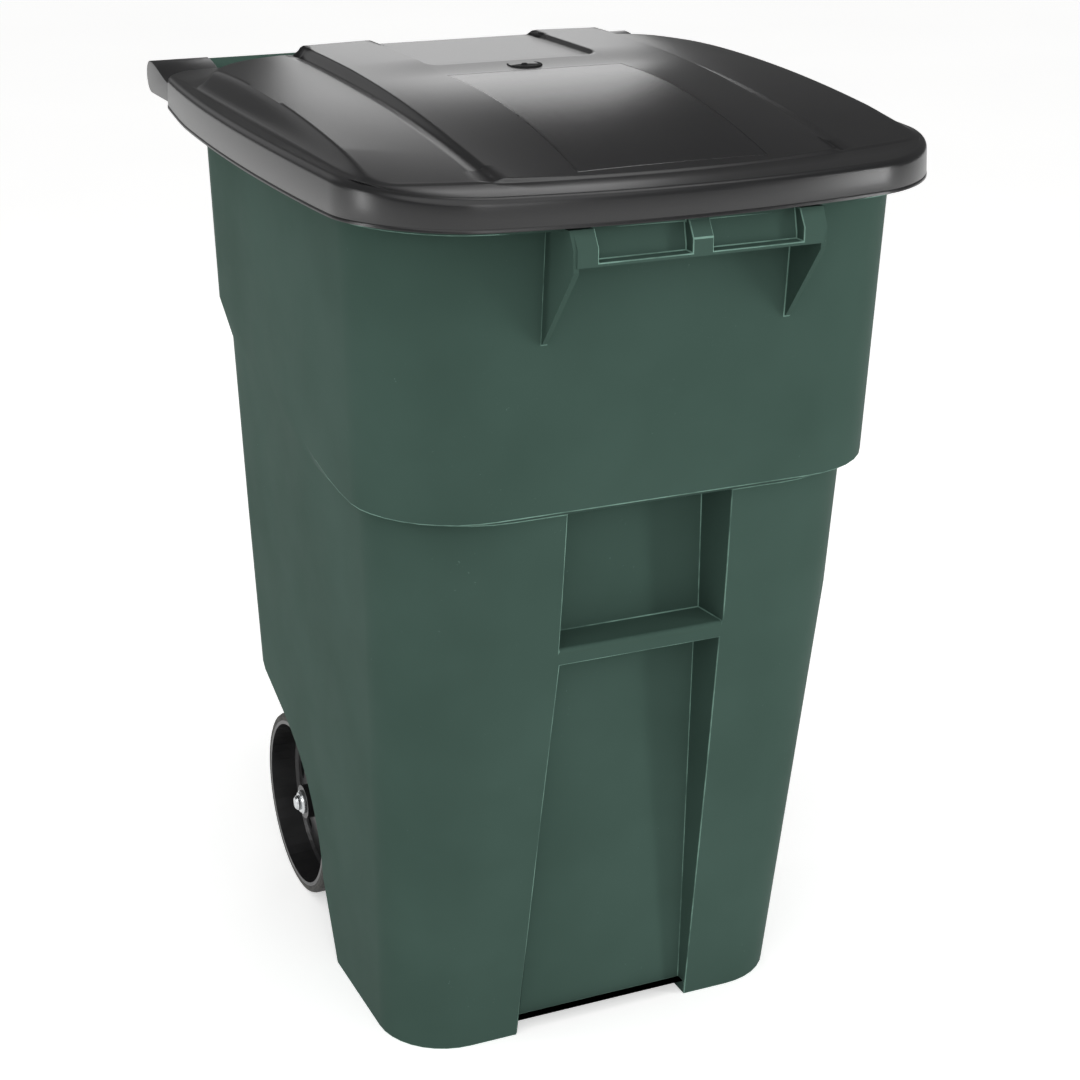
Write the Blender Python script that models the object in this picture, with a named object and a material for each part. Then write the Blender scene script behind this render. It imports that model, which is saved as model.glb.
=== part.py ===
"""Wheeled trash can: stepped tub, crowned lid on two hinge pins, steel axle and two wheels.

Metres, +Z up, front towards -Y. The origin is on the floor, in the middle of the can's plan.
"""
import math

import bmesh
import bpy

# Whole can
DEPTH = 0.724
FIT_GAP = 0.0003
CUT_OVERRUN = 0.03
EMBED = 0.002

# Facets of the curved outlines
EDGE_SHARES = (0.0, 0.48, 0.53, 0.945)
BACK_SHARES = (0.0, 0.37, 0.407, 0.727, 0.77)
CORNER_STEPS = 9
SIDE_STEPS = 12
BACK_CORNER_STEPS = 6
ROUND_STEPS = 48
SMALL_ROUND_STEPS = 24
ARC_STEPS = 12
FLAT_DEGREES = 0.02
SHARP_DEGREES = 35.0

# Hinge at the back of the lid
HINGE_HEIGHT = 0.873
KNUCKLE_RADIUS = 0.016
KNUCKLE_OUTER = 0.268
KNUCKLE_REACH = 0.075
KNUCKLE_INSET = 0.001
HANDLE_RADIUS = 0.015
HANDLE_HALF_LENGTH = 0.208
PIN_RADIUS = 0.005
PIN_DEPTH = 0.032
PIN_HEAD_RADIUS = 0.009
PIN_HEAD_HEIGHT = 0.003
HINGE_Y = DEPTH / 2 - KNUCKLE_RADIUS
LID_FRONT_Y = -DEPTH / 2

# Tub walls, heights from the floor
TUB_WALL = 0.0045
FLOOR_RISE = 0.015
SHELF_HEIGHT = 0.444
SHELF_THICKNESS = 0.017
STEP_HEIGHT = 0.577
STEP_BAND = 0.006
RIM_HEIGHT = 0.847
RIM_CLIMB_SHARE = 0.0125

# Tub front wall: foot behind the lid's edge, then how far it leans out to each height
FOOT_SETBACK = 0.177
LEAN_TO_SHELF = 0.0774
LEAN_TO_STEP = 0.0132
STEP_FRONT = 0.0104
LEAN_TO_RIM = 0.024
FOOT_Y = LID_FRONT_Y + FOOT_SETBACK
SHELF_WALL_Y = FOOT_Y - LEAN_TO_SHELF
STEP_LOW_Y = SHELF_WALL_Y - LEAN_TO_STEP
STEP_HIGH_Y = STEP_LOW_Y - STEP_FRONT
RIM_WALL_Y = STEP_HIGH_Y - LEAN_TO_RIM

# Tub half widths, corner radii and back wall
FOOT_HALF_WIDTH = 0.211
SHELF_HALF_WIDTH = 0.2305
STEP_LOW_HALF_WIDTH = 0.236
STEP_HIGH_HALF_WIDTH = 0.248
RIM_HALF_WIDTH = 0.256
FOOT_CORNER = 0.070
SHELF_CORNER = 0.098
STEP_LOW_CORNER = 0.105
STEP_HIGH_CORNER = 0.097
RIM_CORNER = 0.114
BACK_CORNER = 0.060
BACK_LOW_CORNER = 0.048
BACK_LOW_Y = 0.240
BACK_HIGH_Y = 0.246

# The step's two lines dip a little behind the front corner, then climb to the back
STEP_DIP = 0.0055
STEP_DIP_START_Y = -0.240
STEP_DIP_END_Y = -0.090
STEP_LOW_RISE = 0.066
STEP_LOW_RISE_START_Y = -0.090
STEP_LOW_RISE_END_Y = 0.300
STEP_HIGH_RISE = 0.0955
STEP_HIGH_RISE_START_Y = -0.200
STEP_HIGH_RISE_END_Y = 0.240

# Rim flange
FLANGE_THICKNESS = 0.0035
FLANGE_SIDE_INSET = 0.008
FLANGE_FRONT_INSET = 0.014
FLANGE_BACK = 0.014
FLANGE_LIP = 0.001
FLANGE_SIDE_BOW = 0.0135

# Front recess, above and below the shelf
RECESS_TOP_HALF_WIDTH = 0.0835
RECESS_SHELF_HALF_WIDTH = 0.0857
RECESS_FOOT_HALF_WIDTH = 0.1005
RECESS_DRAFT = 0.008
RECESS_TOP_DEPTH = 0.048
RECESS_SHELF_DEPTH = 0.040
RECESS_LOW_DEPTH = 0.044
RECESS_FOOT_DEPTH = 0.015
SHELF_EDGE_RADIUS = 0.004

# Front lift bar under the rim
BAR_HALF_LENGTH = 0.112
BAR_APRON_DROP = 0.023
BAR_APRON_LEAN = 0.005
BAR_APRON_THICKNESS = 0.004
BAR_LIP_REACH = 0.012
BAR_LIP_DROP = 0.005
BAR_LIP_THICKNESS = 0.003
BLOCK_WIDTH = 0.019
BLOCK_REACH = 0.008
BLOCK_FACE = 0.015
GUSSET_THICKNESS = 0.005
GUSSET_SPLAY = 0.002
GUSSET_DROP = 0.077

# Axle, wheels and the well over them
AXLE_Y = 0.1887
WHEEL_RADIUS = 0.100
AXLE_RADIUS = 0.008
AXLE_HALF_LENGTH = 0.198
AXLE_DOME = 0.003
AXLE_DOME_SHARES = (1 / 3, 0.75)
WHEEL_WIDTH = 0.044
WHEEL_INNER_X = 0.152
TYRE_THICKNESS = 0.0075
TYRE_CHAMFER = 0.004
TYRE_CHAMFER_SHARE = 1 / 3
RIM_THICKNESS = 0.006
RIM_FLARE_SHARE = 1 / 3
HUB_RADIUS = 0.0185
HUB_LENGTH = 0.036
WEB_THICKNESS = 0.005
WEB_HUB_X = 0.026
WEB_RIM_X = 0.014
WEB_HOLE_RADIUS = 0.012
WEB_HOLE_RING = 0.052
WEB_HOLES = 5
SPACER_RADIUS = 0.014
SPACER_THICKNESS = 0.0034
NUT_RADIUS = 0.013
NUT_THICKNESS = 0.004
NUT_CROWN = 0.002
NUT_FACE_SHARE = 0.5
CARRIER_THICKNESS = 0.010
CARRIER_BOSS_RADIUS = 0.017
CARRIER_HALF_WIDTH = 0.055
CARRIER_INNER_X = 0.060
WELL_RADIUS = 0.148
WELL_FOOT_Y = 0.014
WELL_FOOT_TOP = 0.088
WELL_SHOULDER_SHARE = 0.42
WELL_TOE_SHARE = 0.5
WELL_BACK_HEIGHT = 0.285

# Handle arms
ARM_X = 0.172
ARM_WIDTH = 0.034
ARM_ROOT_TOP = 0.030
ARM_ROOT_DROP = 0.115
ARM_NECK_REACH = 0.040
ARM_NECK_DROP = 0.022

# Lid plan
LID_HALF_WIDTH = 0.2835
LID_CORNER = 0.096
LID_BACK_CORNER = 0.045
LID_FRONT_BOW = 0.035
LID_SIDE_BOW = 0.0165
LID_BACK_GAP = 0.028
LID_WALL = 0.0035

# Lid edge: skirt, rounded top edge and ledge
LID_SKIRT_BOTTOM = 0.848
LID_SKIRT_HEIGHT = 0.0252
LID_SKIRT_DRAFT = 0.0015
LID_EDGE_RADIUS = 0.006
LID_EDGE_SHARE = 0.3
LID_BACK_CUT = 0.020
LID_LEDGE_DISH = 0.001
SKIRT_SAG = 0.0015
SKIRT_SAG_START_Y = -0.330
SKIRT_SAG_END_Y = -0.200
SKIRT_RISE = 0.006
SKIRT_RISE_START_Y = 0.180

# Lid crown: the side wall up from the ledge, then the arched top
CREASE_HALF_WIDTH = 0.251
CREASE_FRONT_INSET = 0.040
CREASE_BACK_Y = 0.186
CROWN_FRONT_BOW = 0.020
CROWN_FOOT_OUTSET = 0.011
CROWN_FOOT_FRONT = 0.021
CROWN_FOOT_BACK = 0.050
CROWN_EDGE_OUTSET = 0.007
CROWN_EDGE_FRONT = 0.014
CROWN_EDGE_BACK = 0.038
CROWN_EDGE_SHARE = 0.30
CREASE_BACK_CORNER = 0.035
CREST_HEIGHT = 0.9115
CREST_Y = 0.170
CREST_DROP = 0.0243
CREASE_HEIGHT = 0.907
CREASE_TOP_Y = 0.070
CREASE_DROP = 0.053
CREASE_LOWEST = 0.002

# Lid middle: raised at the back, with a low ridge on each side, and sunk at the front
MIDDLE_FOOT_X = 0.166
MIDDLE_EDGE_X = 0.157
RIDGE_INNER_X = 0.088
RIDGE_FLOOR_X = 0.080
MIDDLE_LEVEL = 0.9165
MIDDLE_BEND_Y = -0.050
MIDDLE_DROP = 0.0405
MIDDLE_STEP_BACK = 0.0075
MIDDLE_STEP_FRONT = 0.004
MIDDLE_STEP_START = 0.440
RIDGE_HEIGHT = 0.0045
RIDGE_START_Y = 0.020
RIDGE_FULL_Y = 0.110


def clear_scene():
    for obj in list(bpy.data.objects):
        bpy.data.objects.remove(obj, do_unlink=True)


def plastic(name, colour, roughness, metallic=0.0):
    """A Principled material of one colour."""
    material = bpy.data.materials.new(name)
    material.use_nodes = True
    shader = material.node_tree.nodes["Principled BSDF"]
    shader.inputs["Base Color"].default_value = (*colour, 1.0)
    shader.inputs["Roughness"].default_value = roughness
    shader.inputs["Metallic"].default_value = metallic
    return material


def new_object(name, mesh_builder, material=None, location=(0.0, 0.0, 0.0)):
    """Turn a bmesh into an object with flat, outward faces."""
    bmesh.ops.connect_verts_nonplanar(mesh_builder, angle_limit=math.radians(FLAT_DEGREES),
                                      faces=mesh_builder.faces)
    bmesh.ops.recalc_face_normals(mesh_builder, faces=mesh_builder.faces)
    mesh = bpy.data.meshes.new(name)
    mesh_builder.to_mesh(mesh)
    mesh_builder.free()
    obj = bpy.data.objects.new(name, mesh)
    obj.location = location
    bpy.context.collection.objects.link(obj)
    if material:
        mesh.materials.append(material)
    mesh.shade_smooth()
    mesh.set_sharp_from_angle(angle=math.radians(SHARP_DEGREES))
    return obj


def as_tool(obj):
    """Mark an object that only cuts or adds to another one."""
    obj.hide_render = True
    obj.display_type = "WIRE"
    return obj


def combine(obj, tool, operation):
    """Let one object cut or join another with an exact Boolean."""
    modifier = obj.modifiers.new(f"{operation.lower()} {tool.name}", "BOOLEAN")
    modifier.object = tool
    modifier.operation = operation
    modifier.solver = "EXACT"


def outline(half_width, front, back, front_radius, back_radius, front_bow=0.0, side_bow=0.0):
    """A rounded rectangle in plan, from the front centre round the right side and back again."""
    half = [((half_width - front_radius) * share, front) for share in EDGE_SHARES]
    for step in range(CORNER_STEPS + 1):
        angle = math.pi / 2 * step / CORNER_STEPS
        half.append((half_width - front_radius * (1 - math.sin(angle)),
                     front + front_radius * (1 - math.cos(angle))))
    side_start = front + front_radius
    side_end = back - back_radius
    for step in range(1, SIDE_STEPS):
        half.append((half_width, side_start + (side_end - side_start) * step / SIDE_STEPS))
    for step in range(BACK_CORNER_STEPS + 1):
        angle = math.pi / 2 * step / BACK_CORNER_STEPS
        half.append((half_width - back_radius * (1 - math.cos(angle)),
                     back - back_radius * (1 - math.sin(angle))))
    for share in reversed(BACK_SHARES):
        half.append(((half_width - back_radius) * share, back))
    middle = (front + back) / 2
    bowed = []
    for x, y in half:
        along = (y - middle) / (back - middle)
        bend = front_bow * (x / half_width) ** 2 * (back - y) / (back - front)
        bowed.append((x * (1 - side_bow / half_width * along ** 2), y + bend))
    left = [(-x, y) for x, y in reversed(bowed[1:-1])]
    return bowed + left


def close_end(builder, row):
    """Close a ring by strips from side to side; the straight front and back ends are one face each."""
    front = len(EDGE_SHARES) + 1
    back = len(row) // 2 - len(BACK_SHARES) - 1
    builder.faces.new([row[index] for index in range(-front, front + 1)])
    for index in range(front, back):
        builder.faces.new((row[index], row[index + 1], row[-index - 1], row[-index]))
    builder.faces.new(row[back:len(row) - back + 1])


def loft(name, rings, material=None, location=(0.0, 0.0, 0.0)):
    """Skin closed rings of equal count and close both ends."""
    builder = bmesh.new()
    rows = [[builder.verts.new(point) for point in ring] for ring in rings]
    count = len(rows[0])
    for lower, upper in zip(rows, rows[1:]):
        for index in range(count):
            following = (index + 1) % count
            builder.faces.new((lower[index], lower[following], upper[following], upper[index]))
    close_end(builder, rows[0])
    close_end(builder, rows[-1])
    return new_object(name, builder, material, location)


def prism(name, points, start, end, material=None, location=(0.0, 0.0, 0.0)):
    """Extrude an outline of (y, z) points along X, from start to end."""
    builder = bmesh.new()
    first = [builder.verts.new((start, y, z)) for y, z in points]
    face = builder.faces.new(first)
    extruded = bmesh.ops.extrude_face_region(builder, geom=[face])
    moved = [item for item in extruded["geom"] if isinstance(item, bmesh.types.BMVert)]
    bmesh.ops.translate(builder, verts=moved, vec=(end - start, 0.0, 0.0))
    return new_object(name, builder, material, location)


def wedge(name, low, high):
    """A six-sided block between two levels: z, front y, back y, front half width, back half width."""
    builder = bmesh.new()
    rows = []
    for z, front, back, front_half, back_half in (low, high):
        corners = ((-front_half, front), (front_half, front), (back_half, back), (-back_half, back))
        rows.append([builder.verts.new((x, y, z)) for x, y in corners])
    builder.faces.new(rows[0])
    builder.faces.new(rows[1])
    for index in range(len(rows[0])):
        following = (index + 1) % len(rows[0])
        builder.faces.new((rows[0][index], rows[0][following], rows[1][following], rows[1][index]))
    return new_object(name, builder)


def turned(name, profile, steps, material=None, location=(0.0, 0.0, 0.0), closed=True):
    """Spin a profile of (x, radius) points about the X axis."""
    builder = bmesh.new()
    verts = [builder.verts.new((x, 0.0, radius)) for x, radius in profile]
    pairs = list(zip(verts, verts[1:]))
    if closed:
        pairs.append((verts[-1], verts[0]))
    edges = [builder.edges.new(pair) for pair in pairs]
    bmesh.ops.spin(builder, geom=verts + edges, axis=(1.0, 0.0, 0.0), cent=(0.0, 0.0, 0.0),
                   angle=2 * math.pi, steps=steps, use_merge=True)
    bmesh.ops.remove_doubles(builder, verts=builder.verts, dist=FIT_GAP / 10)
    return new_object(name, builder, material, location)


def rod(name, radius, start, end, y, z, steps=SMALL_ROUND_STEPS, material=None):
    """A plain round bar along X."""
    profile = ((start, 0.0), (start, radius), (end, radius), (end, 0.0))
    return turned(name, profile, steps, material, (0.0, y, z), closed=False)


def mix(low, high, share):
    return low + (high - low) * share


def smooth_share(value, start, end):
    """Zero before start, one after end, eased between them."""
    share = min(max((value - start) / (end - start), 0.0), 1.0)
    return share * share * (3 - 2 * share)


# Tub levels: height, dip, rise, where the rise starts and ends, half width, front y, back y, and the
# radii of the front and back corners
FOOT_LEVEL = (0.0, 0.0, 0.0, STEP_LOW_RISE_START_Y, STEP_LOW_RISE_END_Y, FOOT_HALF_WIDTH, FOOT_Y,
              BACK_LOW_Y, FOOT_CORNER, BACK_LOW_CORNER)
SHELF_LEVEL = (SHELF_HEIGHT, 0.0, 0.0, STEP_LOW_RISE_START_Y, STEP_LOW_RISE_END_Y, SHELF_HALF_WIDTH,
               SHELF_WALL_Y, BACK_LOW_Y, SHELF_CORNER, BACK_LOW_CORNER)
STEP_LOW_LEVEL = (STEP_HEIGHT, STEP_DIP, STEP_LOW_RISE, STEP_LOW_RISE_START_Y, STEP_LOW_RISE_END_Y,
                  STEP_LOW_HALF_WIDTH, STEP_LOW_Y, BACK_HIGH_Y, STEP_LOW_CORNER, BACK_LOW_CORNER)
STEP_HIGH_LEVEL = (STEP_HEIGHT + STEP_BAND, STEP_DIP, STEP_HIGH_RISE, STEP_HIGH_RISE_START_Y,
                   STEP_HIGH_RISE_END_Y, STEP_HIGH_HALF_WIDTH, STEP_HIGH_Y, BACK_HIGH_Y, STEP_HIGH_CORNER,
                   BACK_LOW_CORNER)
RIM_LEVEL = (RIM_HEIGHT - FLANGE_THICKNESS, 0.0, 0.0, STEP_LOW_RISE_START_Y, STEP_LOW_RISE_END_Y,
             RIM_HALF_WIDTH, RIM_WALL_Y, BACK_HIGH_Y, RIM_CORNER, BACK_CORNER)


def rim_lift(y):
    """The rim climbs evenly from the front to the back, as the lid on it does."""
    return RIM_CLIMB_SHARE * (y - LID_FRONT_Y)


def tub_ring(level, inset=0.0, sloped=False, raised=0.0):
    """One outline of the tub's wall, moved inwards by inset."""
    height, dip, rise, rise_start, rise_end, half_width, front, back, front_radius, back_radius = level
    ring = []
    for x, y in outline(half_width - inset, front + inset, back - inset,
                        front_radius - inset, back_radius - inset):
        z = height + raised + rise * smooth_share(y, rise_start, rise_end)
        z -= dip * smooth_share(y, STEP_DIP_START_Y, STEP_DIP_END_Y)
        if sloped:
            z += rim_lift(y)
        ring.append((x, y, z))
    return ring


def flange_ring(height, inset):
    """One outline of the rim flange, which stays inside the lid's skirt in plan."""
    side = FLANGE_SIDE_INSET + inset
    front = FLANGE_FRONT_INSET + inset
    points = outline(LID_HALF_WIDTH - side, LID_FRONT_Y + front, BACK_HIGH_Y + FLANGE_BACK - inset,
                     LID_CORNER - side, BACK_CORNER + FLANGE_BACK - inset, LID_FRONT_BOW, FLANGE_SIDE_BOW)
    return [(x, y, height + rim_lift(y)) for x, y in points]


def level_between(low, high, share):
    return tuple(mix(a, b, share) for a, b in zip(low, high))


def tub_body():
    """The outer skin, filled, with the rim flange round its top."""
    under = RIM_HEIGHT - FLANGE_THICKNESS
    lip_low = under - FLANGE_LIP
    rings = [tub_ring(FOOT_LEVEL), tub_ring(SHELF_LEVEL), tub_ring(STEP_LOW_LEVEL),
             tub_ring(STEP_HIGH_LEVEL), tub_ring(RIM_LEVEL, sloped=True),
             flange_ring(under, FLANGE_THICKNESS), flange_ring(lip_low, FLANGE_THICKNESS),
             flange_ring(lip_low, 0.0), flange_ring(RIM_HEIGHT, 0.0)]
    return loft("tub", rings, TUB_GREEN)


def tub_cavity():
    """The space inside the walls, which leaves the recess, the well and the floor their thickness."""
    floor_share = (FLOOR_RISE + TUB_WALL) / SHELF_HEIGHT
    floor_level = level_between(FOOT_LEVEL, SHELF_LEVEL, floor_share)
    rings = [tub_ring(floor_level, TUB_WALL), tub_ring(SHELF_LEVEL, TUB_WALL),
             tub_ring(STEP_LOW_LEVEL, TUB_WALL, raised=TUB_WALL),
             tub_ring(STEP_HIGH_LEVEL, TUB_WALL, raised=TUB_WALL),
             tub_ring(RIM_LEVEL, TUB_WALL, sloped=True),
             tub_ring(RIM_LEVEL, TUB_WALL, sloped=True, raised=CUT_OVERRUN)]
    cavity = as_tool(loft("tub cavity", rings))
    for tool in (upper_recess(TUB_WALL), lower_recess(TUB_WALL), wheel_well(TUB_WALL)):
        combine(cavity, tool, "DIFFERENCE")
    return cavity


def front_wall_y(height):
    """Where the plain front wall below the step stands at a height."""
    if height > SHELF_HEIGHT:
        share = (height - SHELF_HEIGHT) / (STEP_HEIGHT - SHELF_HEIGHT)
        return mix(SHELF_WALL_Y, STEP_LOW_Y, share)
    return mix(FOOT_Y, SHELF_WALL_Y, height / SHELF_HEIGHT)


def upper_recess(wall):
    """The pocket above the shelf; wall makes it larger all round."""
    bottom = SHELF_HEIGHT - wall
    top = STEP_HEIGHT + wall
    low_y = front_wall_y(SHELF_HEIGHT)
    high_y = front_wall_y(STEP_HEIGHT)
    low = (bottom, low_y - CUT_OVERRUN, low_y + RECESS_SHELF_DEPTH + wall,
           RECESS_SHELF_HALF_WIDTH + wall, RECESS_SHELF_HALF_WIDTH - RECESS_DRAFT + wall)
    high = (top, high_y - CUT_OVERRUN, high_y + RECESS_TOP_DEPTH + wall,
            RECESS_TOP_HALF_WIDTH + wall, RECESS_TOP_HALF_WIDTH - RECESS_DRAFT + wall)
    return as_tool(wedge(f"upper recess {wall}", low, high))


def lower_recess(wall):
    """The tall pocket between the feet; wall makes it larger all round."""
    top = SHELF_HEIGHT - SHELF_THICKNESS
    low = (-CUT_OVERRUN, FOOT_Y - LEAN_TO_SHELF, FOOT_Y + RECESS_FOOT_DEPTH + wall,
           RECESS_FOOT_HALF_WIDTH + wall, RECESS_FOOT_HALF_WIDTH - RECESS_DRAFT + wall)
    high = (top + wall, SHELF_WALL_Y - LEAN_TO_SHELF, front_wall_y(top) + RECESS_LOW_DEPTH + wall,
            RECESS_SHELF_HALF_WIDTH + wall, RECESS_SHELF_HALF_WIDTH - RECESS_DRAFT + wall)
    return as_tool(wedge(f"lower recess {wall}", low, high))


def floor_hollow():
    """The floor between the feet stands clear of the ground."""
    half = RECESS_FOOT_HALF_WIDTH - RECESS_DRAFT
    low = (-CUT_OVERRUN, FOOT_Y, AXLE_Y, half, half)
    high = (FLOOR_RISE, FOOT_Y, AXLE_Y, half, half)
    return as_tool(wedge("floor hollow", low, high))


def well_points(wall):
    """The well's outline in side view: up from the foot, round the wheel, then out to the back."""
    radius = WELL_RADIUS + wall
    centre_y = AXLE_Y
    centre_z = WHEEL_RADIUS
    start = math.pi - math.asin((WELL_FOOT_TOP - centre_z) / radius)
    end = math.pi / 2 + math.asin(WELL_SHOULDER_SHARE)
    lean_share = WELL_TOE_SHARE * WELL_FOOT_TOP / radius
    points = [(WELL_FOOT_Y - wall - CUT_OVERRUN * lean_share, -CUT_OVERRUN)]
    for step in range(ARC_STEPS + 1):
        angle = mix(start, end, step / ARC_STEPS)
        points.append((centre_y + radius * math.cos(angle), centre_z + radius * math.sin(angle)))
    points.append((BACK_LOW_Y, WELL_BACK_HEIGHT + wall))
    points.append((BACK_HIGH_Y + CUT_OVERRUN, WELL_BACK_HEIGHT + wall))
    points.append((BACK_HIGH_Y + CUT_OVERRUN, -CUT_OVERRUN))
    return points


def wheel_well(wall):
    """The space under the back of the tub, cut right across it."""
    half = RIM_HALF_WIDTH + CUT_OVERRUN
    return as_tool(prism(f"wheel well {wall}", well_points(wall), -half, half))


def lift_bar_tools():
    """Apron, lip, three blocks and two gussets that hang under the front of the rim."""
    rim_y = LID_FRONT_Y + FLANGE_FRONT_INSET + BAR_APRON_THICKNESS
    rim_z = RIM_HEIGHT + rim_lift(rim_y)
    top = rim_z - FLANGE_THICKNESS / 2
    nose_y = rim_y - BAR_APRON_LEAN
    nose_z = rim_z - BAR_APRON_DROP
    lip_y = nose_y - BAR_LIP_REACH
    lip_top = nose_z - BAR_LIP_DROP
    lip_bottom = lip_top - BAR_LIP_THICKNESS
    inner = BAR_APRON_THICKNESS
    apron = ((rim_y, top), (nose_y, nose_z), (nose_y, lip_top), (lip_y, lip_top), (lip_y, lip_bottom),
             (nose_y + inner, lip_bottom), (nose_y + inner, nose_z), (rim_y + inner, top))
    tools = [prism("bar apron", apron, -BAR_HALF_LENGTH, BAR_HALF_LENGTH)]
    block = ((rim_y + inner, top), (rim_y - BLOCK_REACH, top), (lip_y, lip_bottom + BLOCK_FACE),
             (lip_y, lip_bottom), (nose_y + inner, lip_bottom))
    half_block = BLOCK_WIDTH / 2
    for centre in (-BAR_HALF_LENGTH + half_block, 0.0, BAR_HALF_LENGTH - half_block):
        tools.append(prism(f"bar block {centre}", block, centre - half_block, centre + half_block))
    tip_z = lip_bottom - GUSSET_DROP
    tip_y = mix(STEP_HIGH_Y, RIM_WALL_Y, (tip_z - STEP_HEIGHT) / (RIM_HEIGHT - STEP_HEIGHT))
    plate = ((RIM_WALL_Y + EMBED, rim_z - FLANGE_THICKNESS), (rim_y - BLOCK_REACH, top),
             (lip_y + EMBED / 2, lip_bottom + BLOCK_FACE), (lip_y + EMBED / 2, lip_bottom - BAR_LIP_DROP),
             (tip_y - EMBED, tip_z), (tip_y + EMBED, tip_z))
    for side in (-1, 1):
        outer = side * BAR_HALF_LENGTH
        start = outer - side * EMBED
        gusset = prism(f"gusset {side}", plate, start, start + side * GUSSET_THICKNESS)
        for vertex in gusset.data.vertices:
            depth_share = (vertex.co.y - lip_y) / (tip_y - lip_y)
            vertex.co.x += side * GUSSET_SPLAY * depth_share
        tools.append(gusset)
    return tools


def handle_tools():
    """The back handle, its two arms and the four axle carriers."""
    tools = [rod("handle bar", HANDLE_RADIUS, -HANDLE_HALF_LENGTH, HANDLE_HALF_LENGTH, HINGE_Y,
                 HINGE_HEIGHT)]
    root_y = BACK_HIGH_Y - TUB_WALL / 2
    root_top = RIM_HEIGHT + rim_lift(root_y) - FLANGE_THICKNESS / 2
    arm = ((root_y, root_top), (HINGE_Y - LID_BACK_GAP, HINGE_HEIGHT),
           (HINGE_Y, HINGE_HEIGHT), (HINGE_Y, HINGE_HEIGHT - HANDLE_RADIUS + EMBED),
           (HINGE_Y - ARM_NECK_REACH, HINGE_HEIGHT - ARM_NECK_DROP),
           (root_y, root_top - ARM_ROOT_DROP))
    for side in (-1, 1):
        centre = side * ARM_X
        tools.append(prism(f"handle arm {side}", arm, centre - ARM_WIDTH / 2, centre + ARM_WIDTH / 2))
    outer = WHEEL_INNER_X - SPACER_THICKNESS - 2 * FIT_GAP - CARRIER_THICKNESS / 2
    top = WELL_BACK_HEIGHT + TUB_WALL
    carrier = [(AXLE_Y - CARRIER_HALF_WIDTH, top)]
    for step in range(ARC_STEPS + 1):
        angle = math.pi + math.pi * step / ARC_STEPS
        carrier.append((AXLE_Y + CARRIER_BOSS_RADIUS * math.cos(angle),
                        WHEEL_RADIUS + CARRIER_BOSS_RADIUS * math.sin(angle)))
    carrier.append((AXLE_Y + CARRIER_HALF_WIDTH, top))
    for centre in (-outer, -CARRIER_INNER_X, CARRIER_INNER_X, outer):
        tools.append(prism(f"axle carrier {centre}", carrier, centre - CARRIER_THICKNESS / 2,
                           centre + CARRIER_THICKNESS / 2))
    return tools


def make_tub():
    """Cut the outside, add what is moulded on, then hollow it and bore it."""
    tub = tub_body()
    for tool in (wheel_well(0.0), upper_recess(0.0), lower_recess(0.0), floor_hollow()):
        combine(tub, tool, "DIFFERENCE")
    for tool in lift_bar_tools() + handle_tools():
        combine(tub, as_tool(tool), "UNION")
    combine(tub, tub_cavity(), "DIFFERENCE")
    axle_bore = rod("axle bore", AXLE_RADIUS + FIT_GAP, -WHEEL_INNER_X, WHEEL_INNER_X, AXLE_Y, WHEEL_RADIUS)
    combine(tub, as_tool(axle_bore), "DIFFERENCE")
    for side in (-1, 1):
        start = side * (HANDLE_HALF_LENGTH - PIN_DEPTH - FIT_GAP)
        end = side * (HANDLE_HALF_LENGTH + CUT_OVERRUN)
        bore = rod(f"pin bore {side}", PIN_RADIUS + FIT_GAP, min(start, end), max(start, end),
                   HINGE_Y, HINGE_HEIGHT)
        combine(tub, as_tool(bore), "DIFFERENCE")
    return tub


def edge_lift(y):
    """The lid's skirt and ledge climb towards the hinge as the rim does."""
    return RIM_CLIMB_SHARE * (y - LID_FRONT_Y)


def skirt_low(y):
    """Height of the skirt's lower edge: level along the sides, with a rise to the hinge."""
    sag = SKIRT_SAG * smooth_share(y, SKIRT_SAG_START_Y, SKIRT_SAG_END_Y)
    return LID_SKIRT_BOTTOM - sag + SKIRT_RISE * smooth_share(y, SKIRT_RISE_START_Y, HINGE_Y - LID_BACK_GAP)


def lid_outline(inset):
    """The skirt's outline, moved inwards by inset."""
    return outline(LID_HALF_WIDTH - inset, LID_FRONT_Y + inset, HINGE_Y - LID_BACK_GAP - inset,
                   LID_CORNER - inset, LID_BACK_CORNER - inset, LID_FRONT_BOW, LID_SIDE_BOW)


def edge_ring(inset, height):
    """A level line on the skirt or the ledge."""
    return [(x, y, height + edge_lift(y)) for x, y in lid_outline(inset)]


def arch(y):
    """Height of the arched top along the lid, beside the raised middle."""
    forwards = (CREST_Y - y) / (CREST_Y - LID_FRONT_Y - CREASE_FRONT_INSET)
    return CREST_HEIGHT - CREST_DROP * forwards ** 2


def ledge_height(y):
    return LID_SKIRT_BOTTOM + LID_SKIRT_HEIGHT - LID_LEDGE_DISH + edge_lift(y)


def crease_height(y):
    """The crown's outer edge is highest beside the can's middle and sinks into the ledge at the front."""
    share = (y - CREASE_TOP_Y) / (CREASE_TOP_Y - LID_FRONT_Y)
    return max(CREASE_HEIGHT - CREASE_DROP * share ** 2, ledge_height(y) + CREASE_LOWEST)


def middle_height(y):
    """The middle is level at the back and bends down to the front."""
    forwards = max(MIDDLE_BEND_Y - y, 0.0) / (MIDDLE_BEND_Y - LID_FRONT_Y - CREASE_FRONT_INSET)
    return MIDDLE_LEVEL - MIDDLE_DROP * forwards ** 2


def middle_edge_height(y):
    """The middle's outer edge stands above the arch at the back and dips below it at the front."""
    share = smooth_share(y, LID_FRONT_Y, LID_FRONT_Y + MIDDLE_STEP_START)
    return arch(y) + mix(-MIDDLE_STEP_FRONT, MIDDLE_STEP_BACK, share)


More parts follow.
